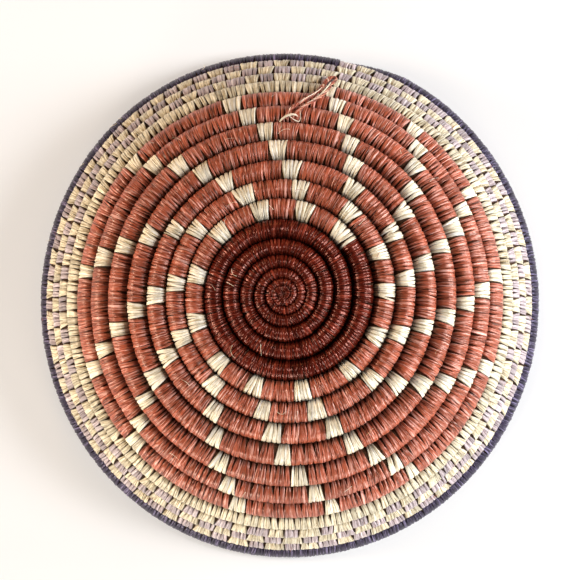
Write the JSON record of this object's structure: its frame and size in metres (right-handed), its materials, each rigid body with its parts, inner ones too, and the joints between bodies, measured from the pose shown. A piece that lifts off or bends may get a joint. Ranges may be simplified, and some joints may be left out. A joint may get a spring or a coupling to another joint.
{
  "type": "coiled basket",
  "caption": "Round coiled raffia bowl basket resting on its rim, back upwards, with a twisted hanging loop that swings on the back.",
  "frame": {"origin": "middle of the rim on the plane that the rim rests on, in the middle of the bounding box", "axes": "+Z up out of the basket's back, from the rim to the centre knot; +X to the right and +Y up as the picture shows it from above, so the loop lies at +Y"},
  "size_m": [0.2958, 0.2976, 0.1056],
  "materials": {
    "maroon_raffia": "dyed raffia, wrapped, slight sheen",
    "red_raffia": "dyed raffia, wrapped, slight sheen",
    "cream_raffia": "undyed raffia, wrapped, slight sheen",
    "lilac_raffia": "dyed raffia, wrapped, slight sheen",
    "purple_raffia": "dyed raffia, wrapped, slight sheen",
    "grass_bundle": "dry grass stalks, matte",
    "twisted_raffia": "twisted raffia cord"
  },
  "bodies": {
    "basket": {"foundation_coil": "grass_bundle", "centre_knot": "maroon_raffia", "rim_wrap_purple": "purple_raffia", "checker_wrap_outer": "lilac_raffia", "checker_wrap_middle": "lilac_raffia", "checker_wrap_inner": "lilac_raffia", "band_wrap_cream": "cream_raffia", "carried_strand_cream": "cream_raffia", "carried_strand_lilac": "lilac_raffia", "loop_stitch": "red_raffia", "red_wrap_1": "red_raffia", "red_wrap_2": "red_raffia", "red_wrap_3": "red_raffia", "red_wrap_4": "red_raffia", "red_wrap_5": "red_raffia", "red_wrap_6": "red_raffia", "red_wrap_7": "red_raffia", "maroon_wrap_1": "maroon_raffia", "maroon_wrap_2": "maroon_raffia", "maroon_wrap_3": "maroon_raffia", "maroon_wrap_4": "maroon_raffia", "maroon_wrap_5": "maroon_raffia", "maroon_wrap_6": "maroon_raffia"},
    "loop": {"hanging_loop": "twisted_raffia"}
  },
  "joints": [
    {"name": "loop_swing", "type": "hinge", "parent": "basket", "child": "loop", "pos_m": [0.00082, 0.10168, 0.08121], "axis": [1, -0.0086, 0], "range_deg": [0, 130]}
  ]
}
